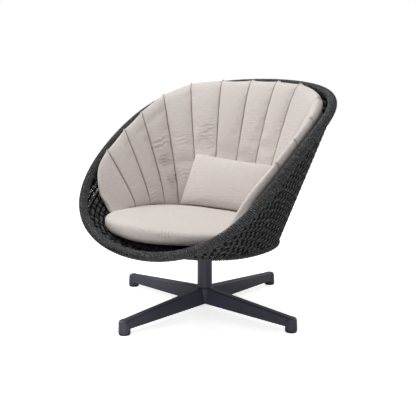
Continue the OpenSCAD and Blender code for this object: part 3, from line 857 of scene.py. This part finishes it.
def puff(mesh, voxel, pressure, cap, frames=20, shrink=0.0, bend=1.5, held=None):
    # inflates a closed form as cloth, and lets no point move farther than the cap; held is a weight for each point
    work = linked("puffWork", mesh.copy())
    bpy.context.view_layer.objects.active = work
    if voxel:
        remesh = work.modifiers.new("remesh", "REMESH")
        remesh.mode, remesh.voxel_size = "VOXEL", voxel
        solid = evaluated(work)
        work.modifiers.clear()
        work.data = solid
    before = pointsOf(work.data)
    cloth = work.modifiers.new("cloth", "CLOTH")
    settings = cloth.settings
    for key, value in clothRun.items():
        setattr(settings, key, value)
    settings.bending_stiffness, settings.shrink_min = bend, shrink
    settings.use_pressure, settings.uniform_pressure_force = True, pressure
    settings.effector_weights.gravity = 0
    if held is not None:
        group = work.vertex_groups.new(name="held")
        for i in np.flatnonzero(held > 0):
            group.add([int(i)], float(held[i]), "REPLACE")
        settings.vertex_group_mass = "held"
    cloth.collision_settings.use_collision = False
    cloth.point_cache.frame_start, cloth.point_cache.frame_end = 1, frames
    for f in range(1, frames + 1):
        scene.frame_set(f)
    result = finished(work)
    scene.frame_set(1)
    move = pointsOf(result) - before
    far = np.linalg.norm(move, axis=1, keepdims=True)
    setPoints(result, before + move * np.minimum(1, cap / np.maximum(far, 1e-9)))
    return result


def subdivided(mesh):
    work = linked("fineWork", mesh)
    fine = work.modifiers.new("fine", "SUBSURF")
    fine.levels = fine.render_levels = 1
    return finished(work)


def ease(x):
    s = np.clip(x, 0, 1)
    return s * s * (3 - 2 * s)


def between(x, start, end):
    # from 0 at start to 1 at end, with soft ends
    return ease((x - start) / (end - start))


def mixed(a, b, s):
    return a + (b - a) * s


def walked(x, y, wide):
    # the length walked along an outline to each of its points, where x is wide times as wide as it says
    return np.concatenate([[0], np.cumsum(np.hypot(np.diff(x) * wide, np.diff(y)))])


def smallFolds(mesh, points, amount, scale, seed, waves=10):
    # soft uneven folds from a few fixed waves
    rng = np.random.default_rng(seed)
    total = np.zeros(len(points))
    for _ in range(waves):
        direction = unit(rng.normal(size=3))
        total += np.sin(points @ direction * scale * rng.uniform(0.6, 1.6) + rng.uniform(0, 6.28))
    return points + normalsOf(mesh) * (amount * total / waves)[:, None]


def pleats(x, spacing):
    # sharp-bottomed waves between -1 and 1
    return 1 - 2 * np.abs(np.sin(math.pi * x / spacing)) ** 0.7


def coverPiece(name, mesh, node):
    piece = keepMesh(name, mesh, "cushion_fabric")
    seatPiece(piece, "seat", "cushion_fabric", node)
    return piece


seat = {
    "width": 0.618, "front": 0.327, "back": 0.104, "edge": 0.319, "top": 0.3625, "crown": 0.0047, "under": 0.2790,
    "square": 2.36, "underSquare": 2.11,
    # how full it is above and below its edge
    "topShare": 0.37, "topRise": 0.29, "underShare": 0.90, "underRise": 0.55,
    "wallClear": 0.0115, "closest": 0.0115 - 0.003, "levels": (0.25, 0.45), "levelStep": 0.002,
    "around": 128, "steps": 44, "creaseLean": 0.3,
    # the corner next to the near arm of the shell is rounder: its direction and width in degrees, how far it is
    # drawn in, as a share, and how far its underside lifts
    "cornerTurn": -48, "cornerWidth": 36, "cornerDraw": 0.055, "cornerLift": 0.015,
}
seatMiddle = (seat["back"] - seat["front"]) / 2
seatCloth = {"voxel": 0.0055, "pressure": 4.0, "cap": 0.0012}
seatFolds = {"amount": 0.0012, "scale": 22, "seed": 3}
# short creases at the front: centre, half sizes, spacing and depth
seatCreases = [((0.075, -0.285, 0.337), (0.050, 0.04, 0.016), 0.012, 0.0036),
               ((-0.030, -0.305, 0.338), (0.05, 0.03, 0.014), 0.014, 0.0024)]


def keptInWall(points, clear):
    # draws points in, level by level, to lie inside the wall
    t = np.linspace(0, 2 * math.pi, 361)
    level, step = points[:, 2], seat["levelStep"]
    out = points.copy()
    rel = points[:, :2] - (0, seatMiddle)
    far, way = np.linalg.norm(rel, axis=1), np.arctan2(rel[:, 0], -rel[:, 1]) % (2 * math.pi)
    for low in np.arange(*seat["levels"], step):
        here = (level >= low) & (level < low + step)
        if not here.any():
            continue
        h = (low + step / 2 - shell["ringHeight"]) / wallUp(t)[:, 2]
        wall = wallPoint(t, h, 0 * t - clear)[:, :2] - (0, seatMiddle)
        angle = np.unwrap(np.arctan2(wall[:, 0], -wall[:, 1]))
        room = np.interp(way[here], angle, np.linalg.norm(wall, axis=1), period=2 * math.pi)
        share = np.minimum(1, room / np.maximum(far[here], 1e-6))
        out[here, :2] = (0, seatMiddle) + rel[here] * share[:, None]
    return out


def seatProfile():
    # from the middle of the underside to the crown: share of the width, height and how far under the edge
    b = np.radians(np.linspace(-89.99, 89.99, 8001))
    top = b > 0
    share = np.cos(b) ** np.where(top, seat["topShare"], seat["underShare"])
    rise = np.sign(b) * np.abs(np.sin(b)) ** np.where(top, seat["topRise"], seat["underRise"])
    z = seat["edge"] + rise * np.where(top, seat["top"] - seat["crown"] - seat["edge"], seat["edge"] - seat["under"])
    z = z + np.where(top, seat["crown"] * (1 - share ** 2), 0)
    walk = walked(share, z, seat["width"] / 2)
    at = np.linspace(0, walk[-1], seat["steps"] + 2)[1:-1]
    return zip(*(np.interp(at, walk, values) for values in (share, z, rise)))


def seatForm():
    rows = []
    a = fullTurn(seat["around"])
    for share, z, rise in seatProfile():
        square = mixed(seat["square"], seat["underSquare"], math.sqrt(max(0, -rise)))
        x = seat["width"] / 2 * share * curl(np.cos(a), 2 / square)
        y = (seat["back"] + seat["front"]) / 2 * share * curl(np.sin(a), 2 / square)
        off = (np.degrees(np.arctan2(y, x)) - seat["cornerTurn"] + 180) % 360 - 180
        corner = np.exp(-(off / seat["cornerWidth"]) ** 2)
        drawn = 1 - seat["cornerDraw"] * corner
        lifted = z + seat["cornerLift"] * corner * max(0, -rise) * share
        rows.append(keptInWall(np.stack([x * drawn, seatMiddle + y * drawn, lifted], -1), seat["wallClear"]))
    return gridMesh("seatForm", rows, (0, seatMiddle, seat["under"]), (0, seatMiddle, seat["top"]))


def makeSeatCushion():
    mesh = subdivided(puff(seatForm(), **seatCloth))
    points = smallFolds(mesh, pointsOf(mesh), **seatFolds)
    for centre, sizes, spacing, deep in seatCreases:
        rel = points - np.array(centre)
        window = np.exp(-((rel / np.array(sizes)) ** 2).sum(1))
        wave = pleats(rel[:, 0] + seat["creaseLean"] * rel[:, 2], spacing)
        points = points + normalsOf(mesh) * (deep * wave * window)[:, None]
    setPoints(mesh, keptInWall(points, seat["closest"]))
    setLayer(mesh, "seam", np.zeros(len(points)))
    boxMap(mesh)
    piece = coverPiece("seatCushion", mesh, "seat_cushion")


makeSeatCushion()


back = {
    # each seam's turn at its lower end and at its top
    "seams": [(78, 78), (92, 92), (107, 107), (127, 127), (150, 153.5), (166, 166.9), (180, 180), (194, 194.8),
              (210, 213.4), (232.5, 235.5), (250.5, 254), (266, 268.5), (281.5, 284)],
    # the front end of each side: where it lies, where its top edge starts down, and how it is shaped there
    "near": {"end": 44, "endLow": 44, "endRise": 0.016, "endDrop": 0.0, "cutFrom": 61, "cutCurve": 1.15,
             "overEnd": 0.010, "lipEnd": 0.052, "tipBack": 0.020, "tipFront": 0.034, "tipCurve": 1.5},
    "away": {"end": 57.8, "endLow": 54.8, "endRise": 0.086, "endDrop": 0.006, "cutFrom": 76, "cutCurve": 3.8,
             "overEnd": 0.014, "lipEnd": 0.046, "tipBack": 0.0085, "tipFront": 0.019, "tipCurve": 1.4},
    "pad": 0.080, "padEnd": 0.034, "padCurve": 132, "lip": 0.097,
    "lowSide": 0.352, "low": 0.300,
    "over": -0.002, "overSide": 0.018, "fall": 0.022, "fallHeight": 0.12,
    "leftRaise": 0.007, "tuft": 0.006, "tuftAt": 0.97, "tuftHalf": 0.10,
    # between which turns each form goes over into the next; all but the raise's are counted from the front
    "lowTurns": (97, 126), "levelTurns": (96, 120), "overTurns": (180, 107), "overEndTurns": (107, 78),
    "lipTurns": (92, 180), "dropTurns": (70, 60), "raiseTurns": (186, 206), "raiseEndTurns": (262, 242),
    "puff": 0.010, "dip": 0.004, "groove": 0.0040, "welt": 0.0016,
    "clear": 0.0031, "rimRope": 0.006, "rimStep": 0.017, "thinnest": 0.004,
    "seamShade": {0: 1.0, 0.016: 0.35, 0.984: 0.35}, "weltColumns": (0.964, 0.984),
    "columns": [0, 0.016, 0.036, 0.08, 0.15, 0.24, 0.34, 0.45, 0.56, 0.66, 0.76, 0.85, 0.92, 0.964, 0.984],
    "around": 116, "edgeRound": 0.5, "flat": 0.16,
}
backCloth = {"voxel": 0, "pressure": 1.0, "cap": 0.0026, "shrink": -0.006, "bend": 5.0}
backFolds = {"amount": 0.0009, "scale": 30, "seed": 5}
# short creases where the cover is slack: turn and height on the wall, half length and half spread, spacing, depth
backCreases = [
    (246, 0.312, 0.030, 0.020, 0.021, 0.0051), (243.5, 0.242, 0.026, 0.034, 0.0125, 0.0050),
    (241.0, 0.160, 0.022, 0.040, 0.0120, 0.0050), (201, 0.362, 0.030, 0.034, 0.0130, 0.0044),
    (199.5, 0.292, 0.028, 0.022, 0.0150, 0.0022), (224, 0.185, 0.030, 0.030, 0.0160, 0.0022),
    (221, 0.330, 0.034, 0.034, 0.0170, 0.0019), (157, 0.390, 0.026, 0.030, 0.0170, 0.0014),
    (262, 0.120, 0.024, 0.028, 0.0150, 0.0020), (136, 0.300, 0.030, 0.040, 0.0190, 0.0015),
]


def backLow(a, depth):
    height = mixed(back["lowSide"], back["low"], between(a, *back["lowTurns"]))
    t = np.radians(a)
    # the sides end level on the seat cushion, the middle square to the wall
    level = 1 - between(a, *back["levelTurns"])
    return (height - shell["ringHeight"] + level * wallOutward(t)[..., 2] * depth) / wallUp(t)[..., 2]


def backTop(a, side):
    over = mixed(back["over"], back["overSide"], between(a, *back["overTurns"]))
    return wallLength(np.radians(a)) + mixed(over, side["overEnd"], between(a, *back["overEndTurns"]))


def backDepth(a, share, side):
    plain = mixed(back["pad"], back["padEnd"], ((180 - a) / back["padCurve"]) ** 2)
    lip = mixed(side["lipEnd"], back["lip"], between(a, *back["lipTurns"]))
    return mixed(plain, lip, ease(share))


def roundedSection(count, power, flat):
    # even steps round a rounded box that is flat times as deep as it is tall
    k = np.linspace(0, 2 * math.pi, 6001)
    u, v = curl(np.cos(k), power), curl(np.sin(k), power)
    walk = walked(u, v, flat)
    at = np.linspace(0, walk[-1], count, endpoint=False)
    return np.interp(at, walk, u), np.interp(at, walk, v)


def backForm():
    # a section across the cushion at each column of each channel: u from wall to front, v from low to top
    near, away = back["near"], back["away"]
    knots = [(near["endLow"], near["end"])] + back["seams"] + [(360 - away["endLow"], 360 - away["end"])]
    rimClear = shell["rimTube"] / 2 + back["rimRope"] + back["clear"]
    wallClear = back["clear"] - shell["wallIn"]
    u, v = roundedSection(back["around"], back["edgeRound"], back["flat"])
    share, forward, bulge = (1 + v) / 2, (1 + u) / 2, (1 - v * v).clip(0, 1)
    tuftTall, tuftDeep = np.exp(-((v - back["tuftAt"]) / back["tuftHalf"]) ** 2), ease((1 + u) / 1.2)
    rows, marks = [], []
    for p in range(len(knots) - 1):
        side = near if knots[p][0] < 180 else away
        for f in back["columns"]:
            if p == 0 and f == 0:
                continue
            edge = mixed(knots[p][1], knots[p + 1][1], f)
            rounding = mixed(ease(share), 1 - (1 - share) ** 2, f) if p == len(knots) - 2 else ease(share)
            turn = mixed(mixed(knots[p][0], knots[p + 1][0], f), edge, rounding)
            a = np.where(turn > 180, 360 - turn, turn)
            fullness = max(0.0, math.sin(math.pi * f)) ** 0.55 if f else 0.0
            seamed = back["seamShade"].get(f, 0.0)
            depth = backDepth(a, share, side)
            low = backLow(a, mixed(wallClear, depth, forward)) - side["endDrop"] * between(a, *back["dropTurns"])
            left = back["leftRaise"] * between(turn, *back["raiseTurns"]) * between(turn, *back["raiseEndTurns"])
            high = backTop(a, side) + left - back["dip"] * fullness
            cut = np.clip((side["cutFrom"] - min(edge, 360 - edge)) / (side["cutFrom"] - side["end"]), 0, 1)
            tuft = back["tuft"] * seamed * tuftTall * tuftDeep
            high = mixed(high + tuft, low + side["endRise"], cut ** side["cutCurve"])
            top = high - back["fall"] * (1 - u) / 2 * ease((high - low) / back["fallHeight"])
            h = mixed(low, top, share)
            front = depth + back["puff"] * fullness * bulge ** 0.5
            if f in back["weltColumns"]:
                front = front + back["welt"] * bulge ** 0.35
            if f == 0:
                front = front - back["groove"] * ease((1 - abs(v)) / 0.2)
            onRim = ease((h - wallLength(np.radians(a)) + 3 * back["rimStep"]) / back["rimStep"])
            behind = mixed(mixed(wallClear, rimClear, onRim), side["tipBack"], cut ** 2)
            before = np.maximum(mixed(front, side["tipFront"], cut ** side["tipCurve"]), behind + back["thinnest"])
            rows.append(wallPoint(np.radians(turn), h, -mixed(behind, before, forward)))
            marks.append(seamed)
    return gridMesh("backForm", rows, rows[0].mean(0), rows[-1].mean(0)), marks, u


# how far before the wall the creases lie, how they lean, and how they waver: amount and waves
creaseForm = {"inward": 0.085, "within": 0.05, "lean": 0.28, "sway": (0.0035, 95), "ripple": (0.002, 210)}


def creased(points, normals, patches):
    out = points.copy()
    (sway, swayWaves), (ripple, rippleWaves) = creaseForm["sway"], creaseForm["ripple"]
    for turn, h, half, spread, spacing, deep in patches:
        t = np.array(math.radians(turn))
        centre = wallPoint(t, np.array(h), np.array(-creaseForm["inward"]))
        up, side = wallUp(t), unit(np.cross(wallUp(t), wallOutward(t)))
        rel = points - centre
        x, z = rel @ side, rel @ up
        z = z + creaseForm["lean"] * x + sway * np.sin(x * swayWaves + turn)
        z = z + ripple * np.sin(x * rippleWaves + 3 * turn)
        window = np.exp(-(x / half) ** 2 - (z / spread) ** 2 - ((rel @ wallOutward(t)) / creaseForm["within"]) ** 2)
        out = out + normals * (deep * pleats(z, spacing) * window)[:, None]
    return out


def makeBackCushion():
    mesh, marks, u = backForm()
    count, total, body = back["around"], len(mesh.vertices), len(marks) * back["around"]
    # strongest at each seam and weaker beside it, for painted shade along the seam grooves
    seam = np.zeros(total)
    seam[:body] = np.repeat(marks, count)
    # the seams and the side towards the wall are held
    held = np.ones(total)
    held[:body] = np.maximum(np.repeat([float(m == 1) for m in marks], count),
                             np.tile(np.clip(1 - (u + 0.4) / 0.8, 0, 1), len(marks)))
    mesh = puff(mesh, held=held, **backCloth)
    setLayer(mesh, "seam", seam)
    mesh = subdivided(mesh)
    setPoints(mesh, smallFolds(mesh, creased(pointsOf(mesh), normalsOf(mesh), backCreases), **backFolds))
    boxMap(mesh)
    piece = coverPiece("backCushion", mesh, "back_cushion")


makeBackCushion()


pillow = {
    "width": 0.376, "height": 0.192, "thick": 0.080, "lean": 27, "y": 0.111, "z": 0.4415,
    "draw": 0.025, "edge": 0.0015, "full": 0.36, "around": 96, "across": 64, "endTurn": 1.48, "crowding": 0.8,
    # how far each corner is pulled from its place, along x and up the pillow
    "topLeft": (0.0165, 0.0195), "topRight": (0.020, -0.003), "lowLeft": (0.0135, -0.002), "lowRight": (0.018, -0.003),
}
pillowCloth = {"voxel": 0.004, "pressure": 4.0, "cap": 0.002}
pillowFolds = {"amount": 0.001, "scale": 40, "seed": 8}


def pillowForm():
    rows = []
    a = 2 * math.pi * np.arange(pillow["around"]) / pillow["around"]
    v = curl(np.cos(a), pillow["crowding"])
    for s in np.sin(np.linspace(-pillow["endTurn"], pillow["endTurn"], pillow["across"])):
        full = np.maximum(0, (1 - s * s) * (1 - v * v)) ** pillow["full"]
        x = pillow["width"] / 2 * s * (1 - pillow["draw"] * (1 - v * v))
        y = pillow["height"] / 2 * v * (1 - 2 * pillow["draw"] * (1 - s * s))
        z = np.sign(np.round(np.sin(a), 6)) * (pillow["edge"] + (pillow["thick"] / 2 - pillow["edge"]) * full)
        rows.append(np.stack([x, y, z], -1))
    half = pillow["width"] / 2 * (1 - pillow["draw"])
    return gridMesh("pillowForm", rows, (-half, 0, 0), (half, 0, 0))


def makePillow():
    mesh = subdivided(puff(pillowForm(), **pillowCloth))
    flat = smallFolds(mesh, pointsOf(mesh), **pillowFolds)
    setPoints(mesh, flat)
    setLayer(mesh, "seam", np.zeros(len(flat)))
    boxMap(mesh)
    right, high = (flat[:, 0] / pillow["width"] + 0.5)[:, None], (flat[:, 1] / pillow["height"] + 0.5)[:, None]
    lower, upper = (mixed(np.array(pillow[end + "Left"]), np.array(pillow[end + "Right"]), right)
                    for end in ("low", "top"))
    flat[:, :2] += mixed(lower, upper, high)
    tilt = math.radians(90 - pillow["lean"])
    c, s = math.cos(tilt), math.sin(tilt)
    setPoints(mesh, np.stack([flat[:, 0], pillow["y"] + flat[:, 1] * c - flat[:, 2] * s,
                              pillow["z"] + flat[:, 1] * s + flat[:, 2] * c], -1))
    piece = coverPiece("lumbarPillow", mesh, "lumbar_pillow")


makePillow()
print("cushions")
